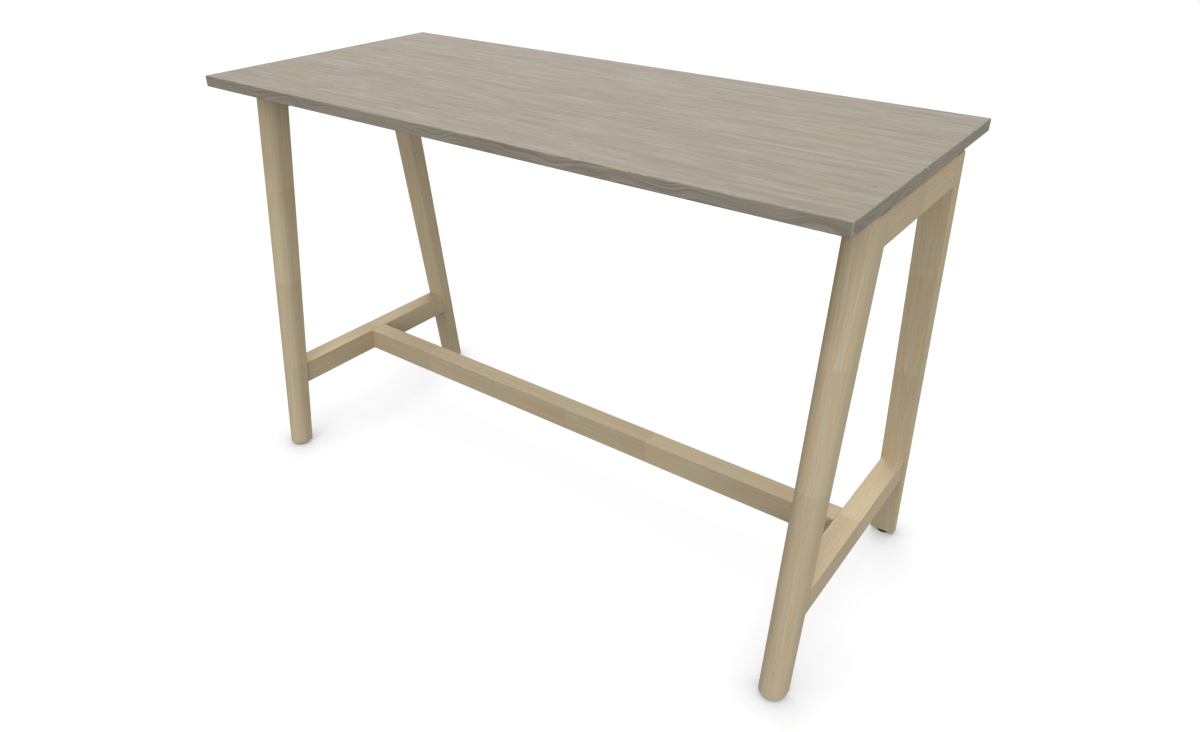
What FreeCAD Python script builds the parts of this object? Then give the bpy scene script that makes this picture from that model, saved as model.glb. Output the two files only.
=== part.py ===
"""High table: a wood-decor top on two splayed wooden end frames, tied by one low stretcher.

Millimetres. The origin is on the floor under the middle of the top, +X runs along the length,
the front is towards -Y and +Z is up.
"""
import FreeCAD, Part
import math
import os

import Sketcher

doc = FreeCAD.newDocument("high_table")
Vector = FreeCAD.Vector

# Driving dimensions in millimetres, with the splay in degrees and the beams set at a share of the rail
DRIVING = {
    # tabletop
    "top_length": 1600,
    "top_depth": 700,
    "table_height": 1050,
    "top_thickness": 25,
    "band_thickness": 2,
    "band_round": 1.8,
    # end frames
    "frame_inset": 3,
    "top_gap": 8,
    "leg_width": 60,
    "foot_inset": 6,
    "leg_splay": 7,
    "leg_depth_top": 64,
    "leg_depth_bottom": 45.5,
    "leg_edge_round": 1.5,
    "leg_end_round": 1,
    "frame_bevel": 3,
    "upper_rail_width": 58,
    "upper_rail_height": 63,
    "lower_rail_width": 50,
    "lower_rail_height": 60,
    "lower_rail_top": 250,
    "rail_round": 0.8,
    # stretcher between the lower rails
    "stretcher_width": 50,
    "stretcher_height": 60,
    # glued dowels between legs and rails
    "dowel_diameter": 12,
    "dowel_length": 70,
    "dowel_spacing": 30,
    "glue_gap": 0.05,
    # steel beams under the top
    "beam_width": 40,
    "beam_height": 40,
    "beam_wall": 2,
    "beam_round": 3,
    "beam_share": 0.57,
    "plate_thickness": 6,
    "plate_width": 96,
    # bolts of the beams and the insert nuts for every threaded joint in wood
    "thread_diameter": 8,
    "thread_clearance": 0.05,
    "bolt_head_diameter": 14,
    "bolt_head_height": 4.5,
    "bolt_grip": 16,
    "bolt_hole_clearance": 0.5,
    "bolt_spacing": 68,
    "bolt_drop": 5,
    "insert_diameter": 12,
    "insert_length": 20,
    # screws that hold the top
    "screw_count": 5,
    "screw_margin": 120,
    "screw_diameter": 5,
    "screw_bite": 18,
    "screw_head_diameter": 10,
    "screw_head_height": 3,
    "screw_hole_clearance": 0.25,
    "access_diameter": 16,
    # joint between the stretcher and a lower rail
    "pocket_diameter": 28,
    "pocket_setback": 45,
    "washer_flat": 5,
    "washer_height": 22,
    "nut_width": 13,
    "nut_height": 6.5,
    "stud_tail": 5,
    "stretcher_dowel_diameter": 10,
    "stretcher_dowel_length": 50,
    "stretcher_dowel_spacing": 36,
    # levelling feet
    "pad_diameter": 30,
    "pad_height": 5,
    "pad_round": 1.2,
    "socket_diameter": 10,
    "socket_depth": 3.5,
    "collar_width": 13,
    "collar_height": 3,
    "foot_travel": 12.5,
    "stem_reserve": 4,
    # room past the end of a blind hole, and how far a cutter starts outside the wood
    "hole_room": 0.5,
    "cutter_start": 5,
}

# Heights, reaches and lengths that follow from the driving dimensions
DERIVED = {
    "top_underside": "=Sizes.table_height - Sizes.top_thickness",
    "leg_top": "=top_underside - Sizes.top_gap",
    "leg_bottom": "=Sizes.pad_height + Sizes.collar_height",
    "leg_length": "=leg_top - leg_bottom",
    "leg_slope": "=tan(Sizes.leg_splay)",
    "outer_bottom": "=Sizes.top_depth / 2 - Sizes.foot_inset",
    "inner_bottom": "=outer_bottom - Sizes.leg_depth_bottom",
    "inner_top": "=inner_bottom - leg_slope * leg_length",
    "outer_top": "=inner_top + Sizes.leg_depth_top",
    "outer_slope": "=(outer_bottom - outer_top) / leg_length",
    "leg_radius": "=Sizes.leg_width / 2",
    "frame_reach": "=Sizes.top_length / 2 - Sizes.frame_inset - leg_radius",
    "upper_rail_bottom": "=leg_top - Sizes.upper_rail_height",
    "upper_rail_middle": "=leg_top - Sizes.upper_rail_height / 2",
    "upper_rail_face": "=frame_reach - Sizes.upper_rail_width / 2",
    "lower_rail_bottom": "=Sizes.lower_rail_top - Sizes.lower_rail_height",
    "lower_rail_middle": "=Sizes.lower_rail_top - Sizes.lower_rail_height / 2",
    "lower_rail_face": "=frame_reach - Sizes.lower_rail_width / 2",
    "stretcher_middle": "=Sizes.lower_rail_top - Sizes.stretcher_height / 2",
    "dowel_radius": "=Sizes.dowel_diameter / 2",
    "dowel_hole_depth": "=Sizes.dowel_length / 2 + Sizes.hole_room",
    "stretcher_dowel_radius": "=Sizes.stretcher_dowel_diameter / 2",
    "stretcher_dowel_hole_depth": "=Sizes.stretcher_dowel_length / 2 + Sizes.hole_room",
    "beam_reach": "=inner_top * Sizes.beam_share",
    "beam_end": "=upper_rail_face - Sizes.plate_thickness",
    "beam_middle": "=top_underside - Sizes.beam_height / 2",
    "bolt_height": "=beam_middle - Sizes.bolt_drop",
    "thread_radius": "=Sizes.thread_diameter / 2",
    "bolt_hole_radius": "=thread_radius + Sizes.bolt_hole_clearance",
    "insert_bore_radius": "=thread_radius + Sizes.thread_clearance",
    "insert_radius": "=Sizes.insert_diameter / 2",
    "insert_hole_radius": "=insert_radius + Sizes.glue_gap",
    "insert_hole_depth": "=Sizes.insert_length + Sizes.hole_room",
    "screw_span": "=2 * (beam_end - Sizes.screw_margin)",
    "screw_pitch": "=screw_span / (Sizes.screw_count - 1)",
    "screw_seat": "=top_underside - Sizes.beam_wall",
    "pocket_reach": "=lower_rail_face - Sizes.pocket_setback",
    "pocket_radius": "=Sizes.pocket_diameter / 2",
    "pocket_top": "=stretcher_middle + Sizes.washer_height / 2 + Sizes.hole_room",
    "nut_seat": "=pocket_reach + Sizes.washer_flat",
    "stud_inner_end": "=nut_seat - Sizes.nut_height - Sizes.stud_tail",
    "stud_outer_end": "=lower_rail_face + Sizes.insert_length",
    "foot_reach": "=outer_bottom - leg_radius",
    "socket_radius": "=Sizes.socket_diameter / 2",
    "stem_length": "=Sizes.insert_length + Sizes.foot_travel + Sizes.stem_reserve",
}

# Turns that point a primitive's own +Z along each axis
TURNS = {
    "+X": FreeCAD.Rotation(Vector(0, 1, 0), 90),
    "-X": FreeCAD.Rotation(Vector(0, 1, 0), -90),
    "+Y": FreeCAD.Rotation(Vector(1, 0, 0), -90),
    "-Y": FreeCAD.Rotation(Vector(1, 0, 0), 90),
    "+Z": FreeCAD.Rotation(),
}

SIDES = {"left": -1, "right": 1}
DEPTHS = {"front": -1, "rear": 1}
HEX_SIDES = 6
HEX_CORNER = f"/ (2 * cos({180 / HEX_SIDES}))"
nodes = []


# Helpers
def add_sheet(name, cells):
    """A sheet with one named cell on each row."""
    sheet = doc.addObject("Spreadsheet::Sheet", name)
    for row, (alias, content) in enumerate(cells.items(), 1):
        sheet.set(f"A{row}", alias)
        sheet.setAlias(f"B{row}", alias)
        sheet.set(f"B{row}", str(content))
    doc.recompute()
    return sheet


def new_body(label, turn=0, **base):
    """A node's body, turned about Z in degrees, with its place given by expressions for x, y and z."""
    body = doc.addObject("PartDesign::Body", label)
    body.Label = label
    body.Placement = FreeCAD.Placement(Vector(), FreeCAD.Rotation(Vector(0, 0, 1), turn))
    for axis, expression in base.items():
        body.setExpression(f"Placement.Base.{axis}", expression)
    nodes.append(body)
    return body


def new_sketch(body, name, role, lift="0"):
    """An empty sketch on one of the body's own planes, lifted along that plane's normal."""
    plane = next(item for item in body.Origin.OriginFeatures if item.Role == role)
    sketch = body.newObject("Sketcher::SketchObject", name)
    sketch.AttachmentSupport = [(plane, "")]
    sketch.MapMode = "FlatFace"
    sketch.setExpression("AttachmentOffset.Base.z", lift)
    return sketch


def dimension(sketch, name, expression, *target):
    """A named dimension of the sketch, bound to its expression."""
    value = sketch.evalExpression(expression)
    index = sketch.addConstraint(Sketcher.Constraint(*target, value))
    sketch.renameConstraint(index, name)
    sketch.setExpression(f"Constraints.{name}", expression)


def outline(sketch, corners):
    """A closed outline of straight lines through corners, each an (across, up) pair of expressions."""
    points = [Vector(sketch.evalExpression(across), sketch.evalExpression(up), 0) for across, up in corners]
    first = sketch.GeometryCount
    count = len(points)
    for index, point in enumerate(points):
        sketch.addGeometry(Part.LineSegment(point, points[(index + 1) % count]))
    for index, (across, up) in enumerate(corners):
        line = first + index
        following = first + (index + 1) % count
        sketch.addConstraint(Sketcher.Constraint("Coincident", line, 2, following, 1))
        dimension(sketch, f"across_{line}", across, "DistanceX", line, 1)
        dimension(sketch, f"up_{line}", up, "DistanceY", line, 1)


def rectangle(sketch, width, height):
    """A rectangle about the sketch's origin."""
    half_width = f"({width}) / 2"
    half_height = f"({height}) / 2"
    low = f"-({half_height})"
    left = f"-({half_width})"
    outline(sketch, [(left, low), (half_width, low), (half_width, half_height), (left, half_height)])


def pad_symmetric(body, sketch, name, length):
    """A pad that reaches half its length to each side of the sketch."""
    feature = body.newObject("PartDesign::Pad", name)
    feature.Profile = sketch
    feature.SideType = "Symmetric"
    feature.setExpression("Length", length)
    doc.recompute()
    return feature


def solid(body, kind, name, sizes, base, pointing="+Z"):
    """A primitive added to the body or cut from it, with sizes and place given by expressions."""
    feature = body.newObject(f"PartDesign::{kind}", name)
    feature.Placement = FreeCAD.Placement(Vector(), TURNS[pointing])
    for path, expression in sizes.items():
        feature.setExpression(path, expression)
    for axis, expression in zip("xyz", base):
        feature.setExpression(f"Placement.Base.{axis}", expression)
    return feature


def bar(body, name, radius, length, base, pointing="+Z"):
    """A round bar added to the body."""
    return solid(body, "AdditiveCylinder", name, {"Radius": radius, "Height": length}, base, pointing)


def drill(body, name, radius, depth, base, pointing="+Z"):
    """A round hole cut from the body."""
    return solid(body, "SubtractiveCylinder", name, {"Radius": radius, "Height": depth}, base, pointing)


def hexagon(body, name, width, height, base, pointing="+Z"):
    """A six-sided prism, its width measured across the flats."""
    sizes = {"Circumradius": f"{width} {HEX_CORNER}", "Height": height}
    feature = solid(body, "AdditivePrism", name, sizes, base, pointing)
    feature.Polygon = HEX_SIDES
    return feature


def ease_edges(body, kind, name, path, size, wanted):
    """Ease the edges of the body for which wanted(edge) is true, by a feature of this kind."""
    doc.recompute()
    base = body.Tip
    names = [f"Edge{index}" for index, edge in enumerate(base.Shape.Edges, 1) if wanted(edge)]
    feature = body.newObject(f"PartDesign::{kind}", name)
    feature.Base = (base, names)
    feature.setExpression(path, size)
    doc.recompute()
    return feature


def round_edges(body, name, radius, wanted):
    """Round edges of the body."""
    return ease_edges(body, "Fillet", name, "Radius", radius, wanted)


def bevel_edges(body, name, size, wanted):
    """Bevel edges of the body."""
    return ease_edges(body, "Chamfer", name, "Size", size, wanted)


def runs_along(axis):
    """A test for straight edges that are parallel to X, Y or Z."""
    def wanted(edge):
        spans = {"X": edge.BoundBox.XLength, "Y": edge.BoundBox.YLength, "Z": edge.BoundBox.ZLength}
        return abs(spans[axis] - edge.Length) < 1e-6
    return wanted


def lies_level(edge, height):
    """Whether an edge lies flat at a height."""
    return edge.BoundBox.ZLength < 1e-6 and abs(edge.CenterOfMass.z - height) < 1e-3


def signed(sign, expression):
    """The expression, turned to the negative side where the sign is negative."""
    return f"{sign} * ({expression})"


def joint_reach(height):
    """How far a leg's inner face stands from the middle plane of the table at a height."""
    return f"(Places.inner_top + Places.leg_slope * (Places.leg_top - ({height})))"


def dowel_heights():
    """Heights of the dowels in a leg, two for each rail."""
    for rail in ("upper", "lower"):
        for sign in (-1, 1):
            yield rail, f"(Places.{rail}_rail_middle + {sign} * Sizes.dowel_spacing / 2)"


def screw_places():
    """Places of the top screws along a beam and across the table."""
    for depth in DEPTHS.values():
        for index in range(int(sizes.screw_count)):
            across = f"(-Places.screw_span / 2 + {index} * Places.screw_pitch)"
            yield across, signed(depth, "Places.beam_reach")


def bolt_places():
    """Places of the beam bolts along an upper rail, as seen from the middle of the table."""
    for depth in DEPTHS.values():
        for sign in (-1, 1):
            yield f"({depth} * Places.beam_reach + {sign} * Sizes.bolt_spacing / 2)"


# Tabletop
def make_board():
    board = new_body("tabletop_board", z="Places.top_underside + Sizes.top_thickness / 2")
    sketch = new_sketch(board, "board_outline", "XY_Plane")
    rectangle(sketch, "Sizes.top_length - 2 * Sizes.band_thickness", "Sizes.top_depth - 2 * Sizes.band_thickness")
    pad_symmetric(board, sketch, "board_sheet", "Sizes.top_thickness")
    for number, (across, along) in enumerate(screw_places()):
        drill(
            board,
            f"screw_hole_{number}",
            "Sizes.screw_diameter / 2 + Sizes.glue_gap",
            "Sizes.screw_bite + Sizes.hole_room",
            (across, along, "-Sizes.top_thickness / 2"),
        )


def make_band(label, turn, length, rounds_ends, **base):
    """An edge band along its own X, with its outer face towards its own +Y."""
    band = new_body(label, turn, z="Places.top_underside + Sizes.top_thickness / 2", **base)
    sketch = new_sketch(band, "band_outline", "XY_Plane")
    half = f"({length}) / 2"
    left = f"-({half})"
    outline(sketch, [(left, "0"), (half, "0"), (half, "Sizes.band_thickness"), (left, "Sizes.band_thickness")])
    pad_symmetric(band, sketch, "band_strip", "Sizes.top_thickness")
    along = runs_along("X")
    across = runs_along("Y")
    upright = runs_along("Z")

    def wanted(edge):
        outside = edge.CenterOfMass.y > sizes.band_thickness / 2
        if outside and along(edge):
            return True
        return rounds_ends and (across(edge) or (outside and upright(edge)))

    round_edges(band, "band_rounds", "Sizes.band_round", wanted)


def make_bands():
    for depth, sign in DEPTHS.items():
        turn = 0 if sign > 0 else 180
        reach = signed(sign, "Sizes.top_depth / 2 - Sizes.band_thickness")
        make_band(f"edge_band_{depth}", turn, "Sizes.top_length", True, y=reach)
    for side, sign in SIDES.items():
        turn = -90 * sign
        reach = signed(sign, "Sizes.top_length / 2 - Sizes.band_thickness")
        make_band(f"edge_band_{side}", turn, "Sizes.top_depth - 2 * Sizes.band_thickness", False, x=reach)


# End frames
def leg_section(leg):
    """The leg's outline at the floor end: round outside, with spare wood inside for the taper cut."""
    sketch = new_sketch(leg, "leg_section", "XY_Plane", "Places.leg_bottom")
    inner = "Places.outer_bottom - Sizes.leg_depth_top - Sizes.cutter_start"
    centre = "Places.outer_bottom - Places.leg_radius"
    radius = sketch.evalExpression("Places.leg_radius")
    inner_start = sketch.evalExpression(inner)
    round_start = sketch.evalExpression(centre)
    circle = Part.Circle(Vector(0, round_start, 0), Vector(0, 0, 1), radius)
    sketch.addGeometry([
        Part.LineSegment(Vector(-radius, inner_start, 0), Vector(radius, inner_start, 0)),
        Part.LineSegment(Vector(radius, inner_start, 0), Vector(radius, round_start, 0)),
        Part.ArcOfCircle(circle, 0, math.pi),
        Part.LineSegment(Vector(-radius, round_start, 0), Vector(-radius, inner_start, 0)),
    ])
    flat, near_side, arc, far_side = range(4)
    start, end, middle = 1, 2, 3
    vertical_axis = -2
    sketch.addConstraint([
        Sketcher.Constraint("Coincident", flat, end, near_side, start),
        Sketcher.Constraint("Coincident", near_side, end, arc, start),
        Sketcher.Constraint("Coincident", arc, end, far_side, start),
        Sketcher.Constraint("Coincident", far_side, end, flat, start),
        Sketcher.Constraint("Horizontal", flat),
        Sketcher.Constraint("Vertical", near_side),
        Sketcher.Constraint("Vertical", far_side),
        Sketcher.Constraint("PointOnObject", arc, middle, vertical_axis),
        Sketcher.Constraint("Horizontal", arc, middle, arc, start),
        Sketcher.Constraint("Horizontal", arc, middle, arc, end),
    ])
    dimension(sketch, "width", "Sizes.leg_width", "DistanceX", flat, start, flat, end)
    dimension(sketch, "inner", inner, "DistanceY", flat, start)
    dimension(sketch, "centre", centre, "DistanceY", arc, middle)
    return sketch


def cut_taper(leg):
    """Cut the leg's inner face, which splays more than its round outside."""
    sketch = new_sketch(leg, "taper_outline", "YZ_Plane")
    below = "Places.leg_bottom - Sizes.cutter_start"
    above = "Places.leg_top + Sizes.cutter_start"
    outline(sketch, [("0", below), (joint_reach(below), below), (joint_reach(above), above), ("0", above)])
    taper = leg.newObject("PartDesign::Pocket", "taper")
    taper.Profile = sketch
    taper.Type = "ThroughAll"
    taper.SideType = "Symmetric"
    doc.recompute()


def make_leg(depth, side):
    turn = 0 if DEPTHS[depth] > 0 else 180
    leg = new_body(f"leg_{depth}_{side}", turn, x=signed(SIDES[side], "Places.frame_reach"))
    stick = leg.newObject("PartDesign::Pad", "stick")
    stick.Profile = leg_section(leg)
    stick.UseCustomVector = True
    stick.AlongSketchNormal = True
    stick.Direction = Vector(0, 0, 1)
    stick.setExpression("Direction.y", "-Places.outer_slope")
    stick.setExpression("Length", "Places.leg_length")
    doc.recompute()
    cut_taper(leg)

    def inner_corner(edge):
        reach = places.inner_top + places.leg_slope * (places.leg_top - edge.CenterOfMass.z)
        return edge.BoundBox.ZLength > places.leg_length / 2 and abs(edge.CenterOfMass.y - reach) < 1e-3

    def free_top_edge(edge):
        return lies_level(edge, places.leg_top) and edge.CenterOfMass.y > places.inner_top + 1e-3

    def bottom_edge(edge):
        return lies_level(edge, places.leg_bottom)

    bevel_edges(leg, "top_bevel", "Sizes.frame_bevel", free_top_edge)
    round_edges(leg, "inner_corners", "Sizes.leg_edge_round", inner_corner)
    round_edges(leg, "bottom_end", "Sizes.leg_end_round", bottom_edge)
    for number, (rail, height) in enumerate(dowel_heights()):
        reach = joint_reach(height)
        drill(
            leg,
            f"{rail}_dowel_hole_{number}",
            "Places.dowel_radius + Sizes.glue_gap",
            "Places.dowel_hole_depth + Sizes.cutter_start",
            ("0", f"{reach} - Sizes.cutter_start", height),
            "+Y",
        )
    drill(
        leg,
        "insert_hole",
        "Places.insert_hole_radius",
        "Places.insert_hole_depth + Sizes.cutter_start",
        ("0", "Places.foot_reach", "Places.leg_bottom - Sizes.cutter_start"),
    )
    drill(
        leg,
        "stem_room",
        "Places.bolt_hole_radius",
        "Places.stem_length + Sizes.hole_room",
        ("0", "Places.foot_reach", "Places.leg_bottom"),
    )


def make_rail(label, sign, rail, top):
    """A rail between two legs. Its own +X is the side towards the middle of the table."""
    turn = 0 if sign < 0 else 180
    body = new_body(label, turn, x=signed(sign, "Places.frame_reach"))
    bottom = f"Places.{rail}_rail_bottom"
    sketch = new_sketch(body, "rail_outline", "YZ_Plane")
    top_reach = joint_reach(top)
    bottom_reach = joint_reach(bottom)
    outline(sketch, [
        (f"-{bottom_reach}", bottom),
        (bottom_reach, bottom),
        (top_reach, top),
        (f"-{top_reach}", top),
    ])
    pad_symmetric(body, sketch, "rail_stick", f"Sizes.{rail}_rail_width")
    runs_through = runs_along("Y")

    def frame_top_edge(edge):
        return runs_through(edge) and lies_level(edge, places.leg_top)

    def plain_edge(edge):
        return runs_through(edge) and edge.CenterOfMass.z < places.upper_rail_middle

    if rail == "upper":
        bevel_edges(body, "top_bevel", "Sizes.frame_bevel", frame_top_edge)
    round_edges(body, "rail_rounds", "Sizes.rail_round", plain_edge)
    for number, (joined, height) in enumerate(dowel_heights()):
        if joined != rail:
            continue
        for depth, outwards in DEPTHS.items():
            start = signed(outwards, f"{joint_reach(height)} + Sizes.cutter_start")
            drill(
                body,
                f"dowel_hole_{depth}_{number}",
                "Places.dowel_radius + Sizes.glue_gap",
                "Places.dowel_hole_depth + Sizes.cutter_start",
                ("0", start, height),
                "-Y" if outwards > 0 else "+Y",
            )
    return body


def make_upper_rails():
    for side, sign in SIDES.items():
        body = make_rail(f"upper_rail_{side}", sign, "upper", "Places.leg_top")
        for number, along in enumerate(bolt_places()):
            drill(
                body,
                f"insert_hole_{number}",
                "Places.insert_hole_radius",
                "Places.insert_hole_depth",
                ("Sizes.upper_rail_width / 2", along, "Places.bolt_height"),
                "-X",
            )


def make_lower_rails():
    for side, sign in SIDES.items():
        body = make_rail(f"lower_rail_{side}", sign, "lower", "Sizes.lower_rail_top")
        drill(
            body,
            "insert_hole",
            "Places.insert_hole_radius",
            "Places.insert_hole_depth",
            ("Sizes.lower_rail_width / 2", "0", "Places.stretcher_middle"),
            "-X",
        )
        for up in (-1, 1):
            drill(
                body,
                f"stretcher_dowel_hole_{up + 1}",
                "Places.stretcher_dowel_radius + Sizes.glue_gap",
                "Places.stretcher_dowel_hole_depth",
                (
                    "Sizes.lower_rail_width / 2",
                    "0",
                    f"Places.stretcher_middle + {up} * Sizes.stretcher_dowel_spacing / 2",
                ),
                "-X",
            )


def make_frame_dowels():
    body = new_body("frame_dowels")
    for side, sign in SIDES.items():
        for depth, outwards in DEPTHS.items():
            for number, (rail, height) in enumerate(dowel_heights()):
                middle = signed(outwards, joint_reach(height))
                bar(
                    body,
                    f"{rail}_dowel_{side}_{depth}_{number}",
                    "Places.dowel_radius",
                    "Sizes.dowel_length",
                    (signed(sign, "Places.frame_reach"), f"{middle} - Sizes.dowel_length / 2", height),
                    "+Y",
                )


# Stretcher and its joints
def make_stretcher():
    body = new_body("stretcher", z="Places.stretcher_middle")
    sketch = new_sketch(body, "stretcher_section", "YZ_Plane")
    rectangle(sketch, "Sizes.stretcher_width", "Sizes.stretcher_height")
    pad_symmetric(body, sketch, "stretcher_stick", "2 * Places.lower_rail_face")
    round_edges(body, "stretcher_rounds", "Sizes.rail_round", runs_along("X"))
    for side, sign in SIDES.items():
        inwards = "-X" if sign > 0 else "+X"
        end = signed(sign, "Places.lower_rail_face")
        drill(
            body,
            f"stud_hole_{side}",
            "Places.bolt_hole_radius",
            "Places.lower_rail_face - Places.stud_inner_end + Sizes.hole_room",
            (end, "0", "0"),
            inwards,
        )
        drill(
            body,
            f"nut_pocket_{side}",
            "Places.pocket_radius",
            "Places.pocket_top - Places.stretcher_middle + Sizes.stretcher_height / 2",
            (signed(sign, "Places.pocket_reach"), "0", "-Sizes.stretcher_height / 2"),
        )
        for up in (-1, 1):
            drill(
                body,
                f"dowel_hole_{side}_{up + 1}",
                "Places.stretcher_dowel_radius + Sizes.glue_gap",
                "Places.stretcher_dowel_hole_depth",
                (end, "0", f"{up} * Sizes.stretcher_dowel_spacing / 2"),
                inwards,
            )


def make_stretcher_dowels():
    body = new_body("stretcher_dowels")
    for side, sign in SIDES.items():
        middle = signed(sign, "Places.lower_rail_face")
        for up in (-1, 1):
            bar(
                body,
                f"dowel_{side}_{up + 1}",
                "Places.stretcher_dowel_radius",
                "Sizes.stretcher_dowel_length",
                (
                    f"{middle} - Sizes.stretcher_dowel_length / 2",
                    "0",
                    f"Places.stretcher_middle + {up} * Sizes.stretcher_dowel_spacing / 2",
                ),
                "+X",
            )


def make_stretcher_fixings():
    """Studs from the lower rails into the stretcher, with half-moon washers and nuts in its pockets."""
    studs = new_body("stretcher_studs")
    washers = new_body("half_moon_washers")
    nuts = new_body("stretcher_nuts")
    for side, sign in SIDES.items():
        outwards = "+X" if sign > 0 else "-X"
        bar(
            studs,
            f"stud_{side}",
            "Places.thread_radius",
            "Places.stud_outer_end - Places.stud_inner_end",
            (signed(sign, "Places.stud_inner_end"), "0", "Places.stretcher_middle"),
            outwards,
        )
        bar(
            washers,
            f"disc_{side}",
            "Places.pocket_radius - Sizes.glue_gap",
            "Sizes.washer_height",
            (
                signed(sign, "Places.pocket_reach"),
                "0",
                "Places.stretcher_middle - Sizes.washer_height / 2",
            ),
        )
        flat = signed(sign, "Places.nut_seat")
        solid(
            washers,
            "SubtractiveBox",
            f"flat_{side}",
            {
                "Length": "Sizes.pocket_diameter",
                "Width": "Sizes.pocket_diameter",
                "Height": "Sizes.washer_height",
            },
            (
                f"{flat} - Sizes.pocket_diameter" if sign > 0 else flat,
                "-Places.pocket_radius",
                "Places.stretcher_middle - Sizes.washer_height / 2",
            ),
        )
        drill(
            washers,
            f"stud_hole_{side}",
            "Places.bolt_hole_radius",
            "Places.pocket_radius",
            (flat, "0", "Places.stretcher_middle"),
            outwards,
        )
        hexagon(
            nuts,
            f"nut_{side}",
            "Sizes.nut_width",
            "Sizes.nut_height",
            (signed(sign, "Places.nut_seat - Sizes.nut_height"), "0", "Places.stretcher_middle"),
            outwards,
        )
        drill(
            nuts,
            f"thread_{side}",
            "Places.insert_bore_radius",
            "Sizes.nut_height",
            (signed(sign, "Places.nut_seat - Sizes.nut_height"), "0", "Places.stretcher_middle"),
            outwards,
        )


# Insert nuts in the wood
def add_insert(body, name, base, pointing):
    """A threaded bush, flush with the wood at its base and reaching inwards."""
    bar(body, name, "Places.insert_radius", "Sizes.insert_length", base, pointing)
    drill(body, f"{name}_thread", "Places.insert_bore_radius", "Sizes.insert_length", base, pointing)


def make_inserts():
    beam_inserts = new_body("beam_insert_nuts")
    stretcher_inserts = new_body("stretcher_insert_nuts")
    foot_inserts = new_body("foot_insert_nuts")
    for side, sign in SIDES.items():
        outwards = "+X" if sign > 0 else "-X"
        for number, along in enumerate(bolt_places()):
            base = (signed(sign, "Places.upper_rail_face"), along, "Places.bolt_height")
            add_insert(beam_inserts, f"insert_{side}_{number}", base, outwards)
        base = (signed(sign, "Places.lower_rail_face"), "0", "Places.stretcher_middle")
        add_insert(stretcher_inserts, f"insert_{side}", base, outwards)
        for depth, forwards in DEPTHS.items():
            base = (
                signed(sign, "Places.frame_reach"),
                signed(forwards, "Places.foot_reach"),
                "Places.leg_bottom",
            )
            add_insert(foot_inserts, f"insert_{side}_{depth}", base, "+Z")


# Steel beams under the top
def make_beam(depth):
    beam = new_body(
        f"beam_{depth}", y=signed(DEPTHS[depth], "Places.beam_reach"), z="Places.beam_middle"
    )
    sketch = new_sketch(beam, "tube_section", "YZ_Plane")
    rectangle(sketch, "Sizes.beam_width", "Sizes.beam_height")
    pad_symmetric(beam, sketch, "tube_outside", "2 * Places.beam_end")
    round_edges(beam, "tube_rounds", "Sizes.beam_round", runs_along("X"))
    inside = new_sketch(beam, "tube_hollow_section", "YZ_Plane")
    rectangle(
        inside, "Sizes.beam_width - 2 * Sizes.beam_wall", "Sizes.beam_height - 2 * Sizes.beam_wall"
    )
    hollow = beam.newObject("PartDesign::Pocket", "tube_hollow")
    hollow.Profile = inside
    hollow.Type = "ThroughAll"
    hollow.SideType = "Symmetric"
    doc.recompute()
    for index in range(int(sizes.screw_count)):
        across = f"-Places.screw_span / 2 + {index} * Places.screw_pitch"
        drill(
            beam,
            f"screw_hole_{index}",
            "Sizes.screw_diameter / 2 + Sizes.screw_hole_clearance",
            "Sizes.beam_height / 2",
            (across, "0", "0"),
        )
        drill(
            beam,
            f"access_hole_{index}",
            "Sizes.access_diameter / 2",
            "Sizes.beam_height / 2",
            (across, "0", "-Sizes.beam_height / 2"),
        )


def make_plate(depth, side):
    plate = new_body(
        f"beam_plate_{depth}_{side}",
        x=signed(SIDES[side], "Places.beam_end + Sizes.plate_thickness / 2"),
        y=signed(DEPTHS[depth], "Places.beam_reach"),
        z="Places.beam_middle",
    )
    sketch = new_sketch(plate, "plate_outline", "YZ_Plane")
    rectangle(sketch, "Sizes.plate_width", "Sizes.beam_height")
    pad_symmetric(plate, sketch, "plate_blank", "Sizes.plate_thickness")
    round_edges(plate, "plate_corners", "Sizes.beam_round", runs_along("X"))
    for sign in (-1, 1):
        drill(
            plate,
            f"bolt_hole_{sign + 1}",
            "Places.bolt_hole_radius",
            "Sizes.plate_thickness",
            ("-Sizes.plate_thickness / 2", f"{sign} * Sizes.bolt_spacing / 2", "-Sizes.bolt_drop"),
            "+X",
        )


def make_beam_bolts():
    body = new_body("beam_bolts")
    for side, sign in SIDES.items():
        outwards = "+X" if sign > 0 else "-X"
        for number, along in enumerate(bolt_places()):
            bar(
                body,
                f"head_{side}_{number}",
                "Sizes.bolt_head_diameter / 2",
                "Sizes.bolt_head_height",
                (signed(sign, "Places.beam_end - Sizes.bolt_head_height"), along, "Places.bolt_height"),
                outwards,
            )
            bar(
                body,
                f"shank_{side}_{number}",
                "Places.thread_radius",
                "Sizes.plate_thickness + Sizes.bolt_grip",
                (signed(sign, "Places.beam_end"), along, "Places.bolt_height"),
                outwards,
            )


def make_top_screws():
    body = new_body("top_screws")
    for number, (across, along) in enumerate(screw_places()):
        bar(
            body,
            f"head_{number}",
            "Sizes.screw_head_diameter / 2",
            "Sizes.screw_head_height",
            (across, along, "Places.screw_seat - Sizes.screw_head_height"),
        )
        bar(
            body,
            f"shank_{number}",
            "Sizes.screw_diameter / 2",
            "Sizes.beam_wall + Sizes.screw_bite",
            (across, along, "Places.screw_seat"),
        )


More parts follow.
